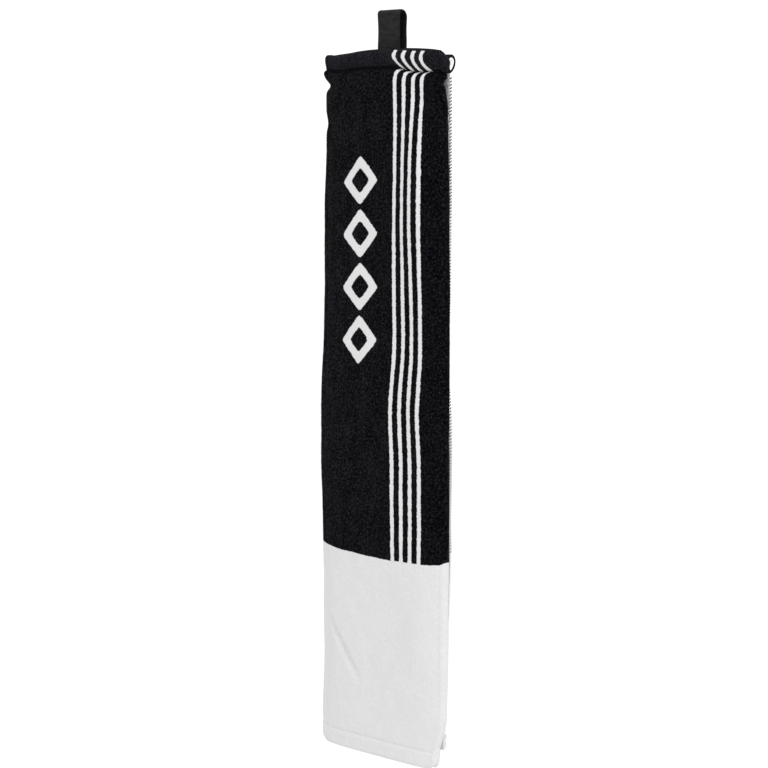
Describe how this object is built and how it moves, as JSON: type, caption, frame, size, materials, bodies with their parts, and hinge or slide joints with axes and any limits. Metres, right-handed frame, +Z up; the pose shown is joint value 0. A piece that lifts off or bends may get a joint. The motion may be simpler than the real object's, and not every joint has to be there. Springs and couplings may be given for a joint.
{
  "type": "trifold golf towel",
  "caption": "Terry golf towel folded in three lengthwise, black with stripes over a white foot, hanging from a webbing loop sewn to its top hem.",
  "frame": {"origin": "middle of the width of the folded towel at the inside of the hanging loop's top, where a hook or ring bears", "axes": "+Z up along the hanging towel, -Y out of the striped front, +X to the right as seen from the front"},
  "size_m": [0.1377, 0.0343, 0.6453],
  "materials": {
    "velour": "black sheared cotton velour face with white terry reverse",
    "white_terry": "white cotton terry pile",
    "webbing": "ribbed black webbing",
    "dark_thread": "black sewing thread",
    "white_thread": "white sewing thread",
    "label": "blank white satin label"
  },
  "bodies": {
    "loop": {"hanging_loop": "webbing"},
    "centre": {"loop_front_tail": "webbing", "loop_back_tail": "webbing", "loop_bar_tack": "dark_thread", "centre_panel": "velour", "centre_top_hem": "velour", "centre_bottom_hem": "white_terry", "centre_top_hem_stitch": "dark_thread", "centre_bottom_hem_stitch": "white_thread", "left_fold": "velour", "right_fold": "velour"},
    "outer_flap": {"outer_flap_panel": "velour", "outer_flap_top_hem": "velour", "outer_flap_bottom_hem": "white_terry", "outer_flap_top_hem_stitch": "dark_thread", "outer_flap_bottom_hem_stitch": "white_thread", "outer_flap_selvedge": "velour"},
    "inner_flap": {"inner_flap_panel": "velour", "inner_flap_top_hem": "velour", "inner_flap_bottom_hem": "white_terry", "inner_flap_top_hem_stitch": "dark_thread", "inner_flap_bottom_hem_stitch": "white_thread", "inner_flap_selvedge": "velour", "care_label": "label", "care_label_stitch": "white_thread"}
  },
  "joints": [
    {"name": "loop_swing", "type": "hinge", "parent": "loop", "child": "centre", "pos_m": [0, 0, -0.029], "axis": [1, 0, 0], "range_deg": [-60, 45], "deforming": ["hanging_loop"]},
    {"name": "outer_flap_fold", "type": "hinge", "parent": "centre", "child": "outer_flap", "pos_m": [-0.0705, 0.001, -0.051], "axis": [0, 0, 1], "range_deg": [0, 179], "deforming": ["left_fold"]},
    {"name": "inner_flap_fold", "type": "hinge", "parent": "centre", "child": "inner_flap", "pos_m": [0.067, -0.0025, -0.051], "axis": [0, 0, -1], "range_deg": [0, 179], "deforming": ["right_fold", "outer_flap_panel", "outer_flap_top_hem", "outer_flap_bottom_hem", "outer_flap_top_hem_stitch", "outer_flap_bottom_hem_stitch", "outer_flap_selvedge"]}
  ]
}
